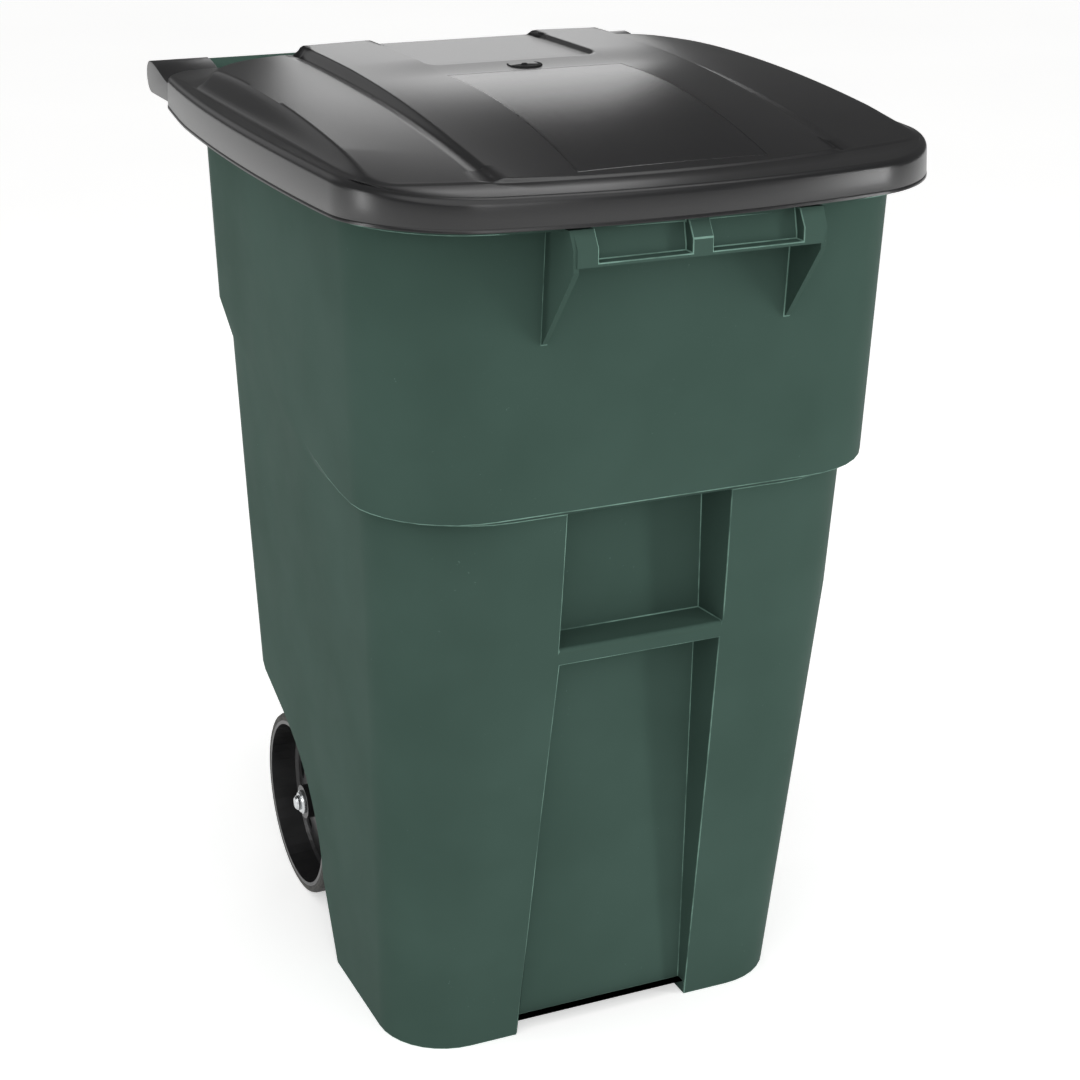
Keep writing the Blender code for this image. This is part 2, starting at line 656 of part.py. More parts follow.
def crown_breaks(y):
    """Points (x, z) across the crown from the middle outwards, inside the outer crease."""
    ridge = RIDGE_HEIGHT * smooth_share(y, RIDGE_START_Y, RIDGE_FULL_Y)
    floor = middle_height(y)
    return ((0.0, floor), (RIDGE_FLOOR_X, floor), (RIDGE_INNER_X, floor + ridge),
            (MIDDLE_EDGE_X, middle_edge_height(y)), (MIDDLE_FOOT_X, arch(y)))


def crown_height(x, y):
    """Height of the crown at a point of its outer crease."""
    breaks = crown_breaks(y)
    across = abs(x)
    if across >= MIDDLE_FOOT_X:
        share = min((across - MIDDLE_FOOT_X) / (CREASE_HALF_WIDTH - MIDDLE_FOOT_X), 1.0)
        return mix(arch(y), crease_height(y), share * share)
    for inner, outer in zip(breaks, breaks[1:]):
        if across <= outer[0]:
            return mix(inner[1], outer[1], (across - inner[0]) / (outer[0] - inner[0]))
    return arch(y)


def crown_ring(outset, front, back, drop, sunk):
    """A line round the crown, outside its crease by outset; drop is its share of the way to the ledge."""
    radius = CREASE_HALF_WIDTH - MIDDLE_FOOT_X
    crease_front = LID_FRONT_Y + CREASE_FRONT_INSET
    points = outline(CREASE_HALF_WIDTH + outset, crease_front - front, CREASE_BACK_Y + back,
                     radius + outset, CREASE_BACK_CORNER + outset, CROWN_FRONT_BOW)
    crease = outline(CREASE_HALF_WIDTH, crease_front, CREASE_BACK_Y, radius, CREASE_BACK_CORNER,
                     CROWN_FRONT_BOW)
    ring = []
    for (x, y), (crease_x, crease_y) in zip(points, crease):
        ring.append((x, y, mix(crown_height(crease_x, crease_y), ledge_height(y), drop) - sunk))
    return ring


def crown_faces(builder, ring, sunk):
    """Close a crease ring with rows from side to side that follow the arch, the middle and its ridges."""
    front = len(EDGE_SHARES)
    back = len(BACK_SHARES)
    last = len(ring) // 2
    first_row = [ring[index] for index in range(-front, front + 1)]
    rows = []
    for index in range(front + 1, last - back):
        left, right = ring[-index], ring[index]
        y = right.co.y + HINGE_Y
        breaks = [(x, z - sunk - HINGE_HEIGHT) for x, z in crown_breaks(y)]
        row = [builder.verts.new((x, right.co.y, z)) for x, z in breaks]
        mirrored = [builder.verts.new((-x, right.co.y, z)) for x, z in reversed(breaks[1:])]
        rows.append([left] + mirrored + row + [right])
    rows.append([ring[index] for index in range(last + back, last - back - 1, -1)])
    for first, second in zip(rows, rows[1:]):
        for index in range(len(first) - 1):
            builder.faces.new((first[index], first[index + 1], second[index + 1], second[index]))
    row = rows[0]
    for index in range(len(first_row) - 1):
        builder.faces.new((first_row[index], first_row[index + 1], row[index + 2], row[index + 1]))
    builder.faces.new((first_row[0], row[0], row[1]))
    builder.faces.new((first_row[-1], row[-1], row[-2]))


def lid_rings(wall):
    """The lid's lines from the skirt's lower edge to the crease, moved into the wall by its thickness."""
    top = LID_SKIRT_BOTTOM + LID_SKIRT_HEIGHT - wall
    radius = LID_EDGE_RADIUS - wall / 2
    inset = LID_SKIRT_DRAFT + wall
    edge = CROWN_EDGE_OUTSET - wall
    foot = CROWN_FOOT_OUTSET - wall
    return [[(x, y, skirt_low(y)) for x, y in lid_outline(wall)],
            edge_ring(inset, top - radius),
            edge_ring(inset + radius * LID_EDGE_SHARE, top - radius * LID_EDGE_SHARE),
            edge_ring(inset + radius, top),
            crown_ring(foot, CROWN_FOOT_FRONT - wall, CROWN_FOOT_BACK - wall, 1.0, wall),
            crown_ring(edge, CROWN_EDGE_FRONT - wall, CROWN_EDGE_BACK - wall, 1.0 - CROWN_EDGE_SHARE, wall),
            crown_ring(-wall, -wall, -wall, 0.0, wall)]


def lid_shell():
    """The lid without its knuckles, as one skin outside and inside."""
    builder = bmesh.new()
    skins = []
    for wall in (0.0, LID_WALL):
        rows = [[builder.verts.new((x, y - HINGE_Y, z - HINGE_HEIGHT)) for x, y, z in ring]
                for ring in lid_rings(wall)]
        crown_faces(builder, rows[-1], wall)
        skins.append(rows)
    rows = list(reversed(skins[0])) + skins[1]
    count = len(rows[0])
    for first, second in zip(rows, rows[1:]):
        for index in range(count):
            following = (index + 1) % count
            builder.faces.new((first[index], first[following], second[following], second[index]))
    return new_object("lid", builder, LID_BLACK, (0.0, HINGE_Y, HINGE_HEIGHT))


def knuckle(side):
    """A block at the lid's back corner that ends round on the hinge axis."""
    root = skirt_low(HINGE_Y - KNUCKLE_REACH) - HINGE_HEIGHT
    bottom = root + KNUCKLE_INSET
    ledge = LID_SKIRT_BOTTOM + LID_SKIRT_HEIGHT + edge_lift(HINGE_Y - KNUCKLE_REACH) - HINGE_HEIGHT
    points = [(-KNUCKLE_REACH, ledge - LID_WALL), (-KNUCKLE_REACH, bottom)]
    for step in range(ARC_STEPS + 1):
        angle = math.pi * step / ARC_STEPS - math.pi / 2
        points.append((KNUCKLE_RADIUS * math.cos(angle), KNUCKLE_RADIUS * math.sin(angle)))
    points.append((-LID_BACK_GAP, KNUCKLE_RADIUS))
    inner = HANDLE_HALF_LENGTH + FIT_GAP
    ends = sorted((side * inner, side * KNUCKLE_OUTER))
    return as_tool(prism(f"knuckle {side}", points, ends[0], ends[1], None, (0.0, HINGE_Y, HINGE_HEIGHT)))


def make_lid():
    """Shell with an open back edge between its two knuckles, which are bored for the pins."""
    lid = lid_shell()
    back = HINGE_Y - LID_BACK_GAP
    gap_top = LID_SKIRT_BOTTOM + LID_SKIRT_HEIGHT + edge_lift(back) - LID_WALL - 2 * EMBED
    gap_front = back - LID_BACK_CUT
    gap_points = ((gap_front, LID_SKIRT_BOTTOM - CUT_OVERRUN), (HINGE_Y, LID_SKIRT_BOTTOM - CUT_OVERRUN),
                  (HINGE_Y, gap_top), (gap_front, gap_top))
    open_half = HANDLE_HALF_LENGTH + FIT_GAP + EMBED
    combine(lid, as_tool(prism("lid back gap", gap_points, -open_half, open_half)), "DIFFERENCE")
    for side in (-1, 1):
        combine(lid, knuckle(side), "UNION")
    for side in (-1, 1):
        ends = sorted((side * (HANDLE_HALF_LENGTH - PIN_DEPTH), side * (KNUCKLE_OUTER + CUT_OVERRUN)))
        shank = rod(f"lid bore {side}", PIN_RADIUS + FIT_GAP, ends[0], ends[1], HINGE_Y, HINGE_HEIGHT)
        head_start = side * (KNUCKLE_OUTER - PIN_HEAD_HEIGHT - FIT_GAP)
        ends = sorted((head_start, side * (KNUCKLE_OUTER + CUT_OVERRUN)))
        head = rod(f"lid counterbore {side}", PIN_HEAD_RADIUS + FIT_GAP, ends[0], ends[1],
                   HINGE_Y, HINGE_HEIGHT)
        combine(lid, as_tool(shank), "DIFFERENCE")
        combine(lid, as_tool(head), "DIFFERENCE")
    return lid


def make_hinge_pin(name, side):
    """A headed pin through the knuckle into the end of the handle."""
    tip = HANDLE_HALF_LENGTH - PIN_DEPTH
    neck = KNUCKLE_OUTER - PIN_HEAD_HEIGHT
    profile = ((side * tip, 0.0), (side * tip, PIN_RADIUS), (side * neck, PIN_RADIUS),
               (side * neck, PIN_HEAD_RADIUS), (side * KNUCKLE_OUTER, PIN_HEAD_RADIUS),
               (side * KNUCKLE_OUTER, 0.0))
    return turned(name, profile, SMALL_ROUND_STEPS, WHEEL_BLACK, (0.0, HINGE_Y, HINGE_HEIGHT),
                  closed=False)


def make_axle():
    """A steel rod with domed ends."""
    end = AXLE_HALF_LENGTH
    shoulder = end - AXLE_DOME
    length_share, radius_share = AXLE_DOME_SHARES
    half = [(shoulder, AXLE_RADIUS), (end - AXLE_DOME * length_share, AXLE_RADIUS * radius_share),
            (end, 0.0)]
    profile = [(-x, radius) for x, radius in reversed(half)] + half
    return turned("axle", profile, SMALL_ROUND_STEPS, STEEL, (0.0, AXLE_Y, WHEEL_RADIUS), closed=False)


def make_wheel(name, side):
    """A moulded wheel: bored hub, dished web with round holes, and a wide rim."""
    rim_outer = WHEEL_RADIUS - TYRE_THICKNESS - FIT_GAP
    rim_inner = rim_outer - RIM_THICKNESS
    bore = AXLE_RADIUS + FIT_GAP
    web_in = WEB_RIM_X - WEB_THICKNESS
    hub_in = WEB_HUB_X - WEB_THICKNESS
    profile = ((0.0, bore), (HUB_LENGTH, bore), (HUB_LENGTH, HUB_RADIUS), (WEB_HUB_X, HUB_RADIUS),
               (WEB_RIM_X, rim_inner - RIM_THICKNESS / 2), (WEB_RIM_X + RIM_THICKNESS / 2, rim_inner),
               (WHEEL_WIDTH, rim_inner + RIM_THICKNESS * RIM_FLARE_SHARE), (WHEEL_WIDTH, rim_outer),
               (0.0, rim_outer), (0.0, rim_inner), (web_in, rim_inner - RIM_THICKNESS / 2),
               (hub_in, HUB_RADIUS), (0.0, HUB_RADIUS))
    placed = [(side * (WHEEL_INNER_X + x), radius) for x, radius in profile]
    wheel = turned(name, placed, ROUND_STEPS, WHEEL_BLACK, (0.0, AXLE_Y, WHEEL_RADIUS))
    for index in range(WEB_HOLES):
        angle = 2 * math.pi * index / WEB_HOLES
        ends = sorted((side * WHEEL_INNER_X, side * (WHEEL_INNER_X + WHEEL_WIDTH)))
        hole = rod(f"{name} hole {index}", WEB_HOLE_RADIUS, ends[0], ends[1],
                   AXLE_Y + WEB_HOLE_RING * math.sin(angle), WHEEL_RADIUS + WEB_HOLE_RING * math.cos(angle))
        combine(wheel, as_tool(hole), "DIFFERENCE")
    return wheel


def make_tyre(name, side):
    """A solid rubber tyre round the rim."""
    inner = WHEEL_RADIUS - TYRE_THICKNESS
    chamfer = TYRE_CHAMFER
    break_in = chamfer * TYRE_CHAMFER_SHARE
    profile = ((0.0, inner), (WHEEL_WIDTH, inner), (WHEEL_WIDTH, WHEEL_RADIUS - chamfer),
               (WHEEL_WIDTH - break_in, WHEEL_RADIUS - break_in), (WHEEL_WIDTH - chamfer, WHEEL_RADIUS),
               (chamfer, WHEEL_RADIUS), (break_in, WHEEL_RADIUS - break_in), (0.0, WHEEL_RADIUS - chamfer))
    placed = [(side * (WHEEL_INNER_X + x), radius) for x, radius in profile]
    return turned(name, placed, ROUND_STEPS, TYRE_RUBBER, (0.0, AXLE_Y, WHEEL_RADIUS))


def make_spacer(name, side):
    """A plain ring between the axle carrier and the hub."""
    bore = AXLE_RADIUS + FIT_GAP
    outer = WHEEL_INNER_X - FIT_GAP
    inner = outer - SPACER_THICKNESS
    profile = ((inner, bore), (outer, bore), (outer, SPACER_RADIUS), (inner, SPACER_RADIUS))
    placed = [(side * x, radius) for x, radius in profile]
    return turned(name, placed, SMALL_ROUND_STEPS, WHEEL_BLACK, (0.0, AXLE_Y, WHEEL_RADIUS))


def make_push_nut(name, side):
    """A sprung cap nut pressed on the axle outside the hub."""
    bore = AXLE_RADIUS + FIT_GAP
    start = WHEEL_INNER_X + HUB_LENGTH + FIT_GAP
    end = start + NUT_THICKNESS
    crown_x = end - NUT_CROWN
    face_radius = mix(bore, NUT_RADIUS, NUT_FACE_SHARE)
    profile = ((start, bore), (end, bore), (end, face_radius), (crown_x, NUT_RADIUS), (start, NUT_RADIUS))
    placed = [(side * x, radius) for x, radius in profile]
    return turned(name, placed, SMALL_ROUND_STEPS, STEEL, (0.0, AXLE_Y, WHEEL_RADIUS))


def build():
    make_tub()
    make_lid()
    make_axle()
    for label, side in (("left", -1), ("right", 1)):
        make_hinge_pin(f"hinge_pin_{label}", side)
        make_wheel(f"wheel_{label}", side)
        make_tyre(f"tyre_{label}", side)
        make_spacer(f"spacer_{label}", side)
        make_push_nut(f"push_nut_{label}", side)


clear_scene()
TUB_GREEN = plastic("tub green", (0.045, 0.089, 0.072), 0.42)
LID_BLACK = plastic("lid black", (0.032, 0.032, 0.034), 0.38)
WHEEL_BLACK = plastic("wheel black", (0.012, 0.012, 0.012), 0.45)
TYRE_RUBBER = plastic("tyre rubber", (0.05, 0.05, 0.05), 0.75)
STEEL = plastic("steel", (0.62, 0.62, 0.62), 0.3, 1.0)
build()
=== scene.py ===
"""A wheeled trash can on a pale floor: green moulded tub, charcoal lid, two wheels on a steel axle."""
import math

import bmesh
import bpy
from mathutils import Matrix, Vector


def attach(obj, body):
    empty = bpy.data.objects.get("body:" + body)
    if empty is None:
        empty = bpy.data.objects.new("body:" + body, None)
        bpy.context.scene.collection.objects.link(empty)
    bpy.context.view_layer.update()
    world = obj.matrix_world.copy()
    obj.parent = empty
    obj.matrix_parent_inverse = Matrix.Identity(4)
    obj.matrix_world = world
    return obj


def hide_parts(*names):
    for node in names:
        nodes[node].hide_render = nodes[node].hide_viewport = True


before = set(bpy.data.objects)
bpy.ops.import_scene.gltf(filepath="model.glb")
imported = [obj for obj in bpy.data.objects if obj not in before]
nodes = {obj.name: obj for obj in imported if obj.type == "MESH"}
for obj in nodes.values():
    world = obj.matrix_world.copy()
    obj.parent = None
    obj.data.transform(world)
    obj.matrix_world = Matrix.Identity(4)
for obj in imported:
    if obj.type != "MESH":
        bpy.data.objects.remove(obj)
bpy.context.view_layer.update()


# Small helpers

def linear(code):
    """An sRGB hex colour as the linear colour that a shader takes."""
    shares = [int(code[start:start + 2], 16) / 255 for start in (1, 3, 5)]
    return tuple(s / 12.92 if s <= 0.04045 else ((s + 0.055) / 1.055) ** 2.4 for s in shares) + (1.0,)


def add(tree, kind, settings=None, **links):
    """Add one node with its settings and links.

    A link or a plain value goes to the input of that name, with _ for a space, or of that number
    after an i. A colour ramp's setting is its stops: place and colour.
    """
    node = tree.nodes.new(kind)
    for name, value in (settings or {}).items():
        if name != "color_ramp":
            setattr(node, name, value)
            continue
        for element, (place, colour) in zip(node.color_ramp.elements, value):
            element.position = place
            element.color = linear(colour)
    for name, value in links.items():
        socket = node.inputs[int(name[1:])] if name[0] == "i" and name[1:].isdigit() else \
            node.inputs[name.replace("_", " ")]
        if isinstance(value, bpy.types.NodeSocket):
            tree.links.new(value, socket)
        else:
            socket.default_value = value
    return node


def new_material(name):
    """A material with its shader and the piece's own coordinates, in metres."""
    material = bpy.data.materials.new(name)
    material.use_nodes = True
    tree = material.node_tree
    shader = tree.nodes["Principled BSDF"]
    place = add(tree, "ShaderNodeTexCoord").outputs["Object"]
    return material, tree, shader, place


# Materials

def make_tub_plastic():
    """Polyethylene, injection moulded in dark green.

    Waxy and satin: broad soft highlights, a very fine cast grain, slow waves where thick walls sank,
    and pale specks where the surface has been scuffed. The rounded edges carry a painted highlight.
    """
    material, tree, shader, place = new_material("green_moulded_polyethylene")
    # 180 mm clouds: the pigment is a little uneven
    clouds = add(tree, "ShaderNodeTexNoise", Vector=place, Scale=1 / 0.180, Detail=3.0, Roughness=0.55)
    colour = add(tree, "ShaderNodeValToRGB", {"color_ramp": ((0.30, "#42574f"), (0.70, "#495f57"))},
                 Fac=clouds.outputs["Fac"])
    # 1 mm specks, drawn 3.5 mm coarse so that they show, in patches of 60 mm
    specks = add(tree, "ShaderNodeTexNoise", Vector=place, Scale=1 / 0.0035, Detail=2.0, Roughness=0.6)
    scuffs = add(tree, "ShaderNodeTexNoise", Vector=place, Scale=1 / 0.060, Detail=4.0, Roughness=0.65)
    speck_mask = add(tree, "ShaderNodeMapRange", Value=specks.outputs["Fac"], i1=0.70, i2=0.76)
    scuff_mask = add(tree, "ShaderNodeMapRange", Value=scuffs.outputs["Fac"], i1=0.52, i2=0.66)
    worn = add(tree, "ShaderNodeMath", {"operation": "MULTIPLY"}, i0=speck_mask.outputs[0],
               i1=scuff_mask.outputs[0])
    worn_share = add(tree, "ShaderNodeMath", {"operation": "MULTIPLY"}, i0=worn.outputs[0], i1=0.35)
    mixed = add(tree, "ShaderNodeMix", {"data_type": "RGBA"}, i0=worn_share.outputs[0], i6=colour.outputs[0],
                i7=linear("#7f9c90"))
    # Rounded edges are painted paler in patches: a painted highlight along them
    painted_edge_highlight = add(tree, "ShaderNodeAttribute", {"attribute_name": "painted_edge_highlight"})
    patchy = add(tree, "ShaderNodeMapRange", Value=scuffs.outputs["Fac"], i1=0.35, i2=0.60, i3=0.10, i4=0.55)
    edge_highlight_share = add(tree, "ShaderNodeMath", {"operation": "MULTIPLY"}, i0=painted_edge_highlight.outputs["Fac"],
                    i1=patchy.outputs[0])
    mixed = add(tree, "ShaderNodeMix", {"data_type": "RGBA"}, i0=edge_highlight_share.outputs[0], i6=mixed.outputs[2],
                i7=linear("#a3cdbd"))
    tree.links.new(mixed.outputs[2], shader.inputs["Base Color"])
    rough = add(tree, "ShaderNodeMapRange", Value=scuffs.outputs["Fac"], i1=0.3, i2=0.7, i3=0.37, i4=0.46)
    tree.links.new(rough.outputs[0], shader.inputs["Roughness"])
    # Cast grain, finer than a millimetre and drawn 1.2 mm coarse; then 110 mm sink waves
    grain = add(tree, "ShaderNodeTexNoise", Vector=place, Scale=1 / 0.0012, Detail=2.0, Roughness=0.5)
    waves = add(tree, "ShaderNodeTexNoise", Vector=place, Scale=1 / 0.110, Detail=1.0, Roughness=0.4)
    fine = add(tree, "ShaderNodeBump", Height=grain.outputs["Fac"], Strength=0.10, Distance=0.0004)
    wavy = add(tree, "ShaderNodeBump", Height=waves.outputs["Fac"], Strength=0.25, Distance=0.004,
               Normal=fine.outputs[0])
    tree.links.new(wavy.outputs[0], shader.inputs["Normal"])
    shader.inputs["IOR"].default_value = 1.51
    shader.inputs["Specular IOR Level"].default_value = 0.005
    shader.inputs["Specular Tint"].default_value = linear("#c4e6d8")
    return material


def make_lid_plastic():
    """Polyethylene, injection moulded in charcoal.

    Satin, with a fine grain that breaks up the light. The bare panel on the top is polished smoother,
    with a fine sunk edge.
    """
    material, tree, shader, place = new_material("charcoal_moulded_polyethylene")
    # 150 mm clouds in the pigment
    clouds = add(tree, "ShaderNodeTexNoise", Vector=place, Scale=1 / 0.150, Detail=2.0, Roughness=0.5)
    colour = add(tree, "ShaderNodeValToRGB", {"color_ramp": ((0.30, "#1d1d1e"), (0.70, "#222223"))},
                 Fac=clouds.outputs["Fac"])
    tree.links.new(colour.outputs[0], shader.inputs["Base Color"])
    # Panel: 174 mm wide, 284 mm long; distance outside its edge, then a 1 mm soft step
    parts = add(tree, "ShaderNodeSeparateXYZ", Vector=place)
    across = add(tree, "ShaderNodeMath", {"operation": "ABSOLUTE"}, i0=parts.outputs["X"])
    across = add(tree, "ShaderNodeMath", {"operation": "SUBTRACT"}, i0=across.outputs[0], i1=0.087)
    along = add(tree, "ShaderNodeMath", {"operation": "ADD"}, i0=parts.outputs["Y"], i1=0.164)
    along = add(tree, "ShaderNodeMath", {"operation": "ABSOLUTE"}, i0=along.outputs[0])
    along = add(tree, "ShaderNodeMath", {"operation": "SUBTRACT"}, i0=along.outputs[0], i1=0.142)
    outside = add(tree, "ShaderNodeMath", {"operation": "MAXIMUM"}, i0=across.outputs[0], i1=along.outputs[0])
    panel = add(tree, "ShaderNodeMapRange", Value=outside.outputs[0], i1=-0.0005, i2=0.0005, i3=1.0, i4=0.0)
    above = add(tree, "ShaderNodeMath", {"operation": "GREATER_THAN"}, i0=parts.outputs["Z"], i1=0.8735)
    panel = add(tree, "ShaderNodeMath", {"operation": "MULTIPLY"}, i0=panel.outputs[0], i1=above.outputs[0])
    rough = add(tree, "ShaderNodeMapRange", Value=panel.outputs[0], i3=0.28, i4=0.25)
    tree.links.new(rough.outputs[0], shader.inputs["Roughness"])
    grain = add(tree, "ShaderNodeTexNoise", Vector=place, Scale=1 / 0.0012, Detail=2.0, Roughness=0.5)
    fine = add(tree, "ShaderNodeBump", Height=grain.outputs["Fac"], Strength=0.12, Distance=0.0004)
    step = add(tree, "ShaderNodeBump", {"invert": True}, Height=panel.outputs[0], Strength=1.0,
               Distance=0.0012, Normal=fine.outputs[0])
    tree.links.new(step.outputs[0], shader.inputs["Normal"])
    shader.inputs["IOR"].default_value = 1.51
    shader.inputs["Specular IOR Level"].default_value = 0.5
    return material


def make_cut_plastic():
    """The lid's polyethylene where the gate was cut off: rough and dull, so it stays darker."""
    material, tree, shader, place = new_material("charcoal_polyethylene_cut_gate")
    marks = add(tree, "ShaderNodeTexNoise", Vector=place, Scale=1 / 0.0020, Detail=3.0, Roughness=0.6)
    colour = add(tree, "ShaderNodeValToRGB", {"color_ramp": ((0.35, "#1a1a1b"), (0.65, "#262627"))},
                 Fac=marks.outputs["Fac"])
    tree.links.new(colour.outputs[0], shader.inputs["Base Color"])
    fine = add(tree, "ShaderNodeBump", Height=marks.outputs["Fac"], Strength=0.4, Distance=0.0005)
    tree.links.new(fine.outputs[0], shader.inputs["Normal"])
    shader.inputs["Roughness"].default_value = 0.75
    shader.inputs["IOR"].default_value = 1.51
    shader.inputs["Specular IOR Level"].default_value = 0.15
    return material


def make_wheel_plastic():
    """Polypropylene, moulded in black: smoother than the tub, with faint turning marks from the mould."""
    material, tree, shader, place = new_material("black_moulded_polypropylene")
    clouds = add(tree, "ShaderNodeTexNoise", Vector=place, Scale=1 / 0.040, Detail=3.0, Roughness=0.6)
    colour = add(tree, "ShaderNodeValToRGB", {"color_ramp": ((0.30, "#161617"), (0.70, "#1e1e1f"))},
                 Fac=clouds.outputs["Fac"])
    tree.links.new(colour.outputs[0], shader.inputs["Base Color"])
    rough = add(tree, "ShaderNodeMapRange", Value=clouds.outputs["Fac"], i1=0.3, i2=0.7, i3=0.30, i4=0.40)
    tree.links.new(rough.outputs[0], shader.inputs["Roughness"])
    grain = add(tree, "ShaderNodeTexNoise", Vector=place, Scale=1 / 0.0010, Detail=2.0, Roughness=0.5)
    fine = add(tree, "ShaderNodeBump", Height=grain.outputs["Fac"], Strength=0.10, Distance=0.0004)
    tree.links.new(fine.outputs[0], shader.inputs["Normal"])
    shader.inputs["IOR"].default_value = 1.49
    return material


def make_rubber():
    """Solid rubber tread: dry and matte, dusty grey where it rolls."""
    material, tree, shader, place = new_material("dusty_tread_rubber")
    dust = add(tree, "ShaderNodeTexNoise", Vector=place, Scale=1 / 0.012, Detail=5.0, Roughness=0.7)
    colour = add(tree, "ShaderNodeValToRGB", {"color_ramp": ((0.35, "#2c2c2b"), (0.68, "#55544f"))},
                 Fac=dust.outputs["Fac"])
    tree.links.new(colour.outputs[0], shader.inputs["Base Color"])
    fine = add(tree, "ShaderNodeBump", Height=dust.outputs["Fac"], Strength=0.35, Distance=0.0006)
    tree.links.new(fine.outputs[0], shader.inputs["Normal"])
    shader.inputs["Roughness"].default_value = 0.78
    shader.inputs["IOR"].default_value = 1.52
    return material


def make_steel():
    """Steel, bright zinc plated: pale, a little cloudy, with turned lines round the axle."""
    material, tree, shader, place = new_material("bright_zinc_plated_steel")
    clouds = add(tree, "ShaderNodeTexNoise", Vector=place, Scale=1 / 0.006, Detail=3.0, Roughness=0.6)
    colour = add(tree, "ShaderNodeValToRGB", {"color_ramp": ((0.30, "#b9bcbe"), (0.70, "#d6d8d9"))},
                 Fac=clouds.outputs["Fac"])
    tree.links.new(colour.outputs[0], shader.inputs["Base Color"])
    rough = add(tree, "ShaderNodeMapRange", Value=clouds.outputs["Fac"], i1=0.3, i2=0.7, i3=0.22, i4=0.36)
    tree.links.new(rough.outputs[0], shader.inputs["Roughness"])
    lines = add(tree, "ShaderNodeTexNoise", Vector=add(tree, "ShaderNodeMapping", Vector=place,
                                                        Scale=(1.0, 0.02, 0.02)).outputs[0],
                Scale=1 / 0.0008, Detail=2.0)
    fine = add(tree, "ShaderNodeBump", Height=lines.outputs["Fac"], Strength=0.08, Distance=0.0003)
    tree.links.new(fine.outputs[0], shader.inputs["Normal"])
    shader.inputs["Metallic"].default_value = 1.0
    return material


def make_floor_material():
    """Painted studio floor, pale and matte; it keeps the can's shadow and shows as near white."""
    material, tree, shader, place = new_material("pale_studio_floor")
    clouds = add(tree, "ShaderNodeTexNoise", Vector=place, Scale=1 / 0.9, Detail=2.0)
    colour = add(tree, "ShaderNodeValToRGB", {"color_ramp": ((0.3, "#f1f1f0"), (0.7, "#f4f4f3"))},
                 Fac=clouds.outputs["Fac"])
    tree.links.new(colour.outputs[0], shader.inputs["Base Color"])
    shader.inputs["Roughness"].default_value = 0.9
    shader.inputs["Specular IOR Level"].default_value = 0.1
    path = add(tree, "ShaderNodeLightPath")
    seen = add(tree, "ShaderNodeMath", {"operation": "MAXIMUM"}, i0=path.outputs["Is Camera Ray"],
               i1=path.outputs["Is Glossy Ray"])
    seen = add(tree, "ShaderNodeMath", {"operation": "MAXIMUM"}, i0=seen.outputs[0],
               i1=path.outputs["Is Transmission Ray"])
    glow = add(tree, "ShaderNodeMath", {"operation": "MULTIPLY"}, i0=seen.outputs[0], i1=FLOOR_GLOW)
    shader.inputs["Emission Color"].default_value = linear("#ffffff")
    tree.links.new(glow.outputs[0], shader.inputs["Emission Strength"])
    return material


FLOOR_GLOW = 0.50

TUB_PLASTIC = make_tub_plastic()
LID_PLASTIC = make_lid_plastic()
CUT_PLASTIC = make_cut_plastic()
WHEEL_PLASTIC = make_wheel_plastic()
RUBBER = make_rubber()
STEEL = make_steel()

FINISHES = {
    "tub": TUB_PLASTIC, "lid": LID_PLASTIC, "hinge_pin_left": WHEEL_PLASTIC, "hinge_pin_right": WHEEL_PLASTIC,
    "axle": STEEL, "wheel_left": WHEEL_PLASTIC, "wheel_right": WHEEL_PLASTIC, "tyre_left": RUBBER,
    "tyre_right": RUBBER, "spacer_left": WHEEL_PLASTIC, "spacer_right": WHEEL_PLASTIC,
    "push_nut_left": STEEL, "push_nut_right": STEEL,
}
for name, finish in FINISHES.items():
    nodes[name].data.materials.clear()
    nodes[name].data.materials.append(finish)


# Pieces

def only(piece):
    """Leave one piece selected and active."""
    bpy.ops.object.select_all(action="DESELECT")
    piece.select_set(True)
    bpy.context.view_layer.objects.active = piece


def new_piece(name, builder, finish, body):
    """Turn a builder into a finished piece."""
    mesh = bpy.data.meshes.new(name)
    builder.to_mesh(mesh)
    builder.free()
    piece = bpy.data.objects.new(name, mesh)
    bpy.context.scene.collection.objects.link(piece)
    return finished(piece, finish, body)


def finished(piece, finish, body):
    """Give a piece its material, body and slot."""
    piece.data.materials.clear()
    piece.data.materials.append(finish)
    for face in piece.data.polygons:
        face.material_index = 0
    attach(piece, body)
    return piece


def mix(low, high, share):
    return low + (high - low) * share


def eased(value, start, end):
    """Zero before start, one after end, eased between them."""
    share = min(max((value - start) / (end - start), 0.0), 1.0)
    return share * share * (3 - 2 * share)


# Lid: plan, edge, crown and middle, in metres

HINGE = (0.346, 0.873)
FRONT_Y = -0.362
BACK_Y = 0.318
HALF_WIDTH = 0.2834
CREASE_HALF = 0.251
CREASE_CORNER = 0.020
CREASE_FRONT_Y = -0.316
CREASE_BOW = 0.036
CREASE_BACK_Y = 0.186
STEP_OUT = 0.1660
STEP_IN = 0.1575
STEP_TAPER = 0.0045
POCKET_HALF = 0.088
POCKET_FRONT_Y = 0.026
POCKET_CORNER = 0.014
POCKET_SLOPE = 0.006
ARCH_HEIGHT = 0.9115
ARCH_TOP_Y = 0.170
ARCH_BEND_Y = -0.030
MIDDLE_HEIGHT = 0.9165
MIDDLE_BEND_Y = -0.050
CREASE_HEIGHT = 0.907
CREASE_TOP_Y = 0.070
CREASE_REACH = 0.432
CROWN_FOOT = 0.0012
WALL = 0.0035
EDGE_RADIUS = 0.0065
# Steps along half a plan line: front, front corner, side, back corner, back
STEPS = (40, 30, 110, 14, 40)
# Zones of rings from the crease to the middle line: start, end and steps, closer at the lid's steps
RING_ZONES = ((0.0, 0.27, 20), (0.27, 0.42, 44), (0.42, 0.60, 14), (0.60, 0.71, 22), (0.71, 1.0, 16))


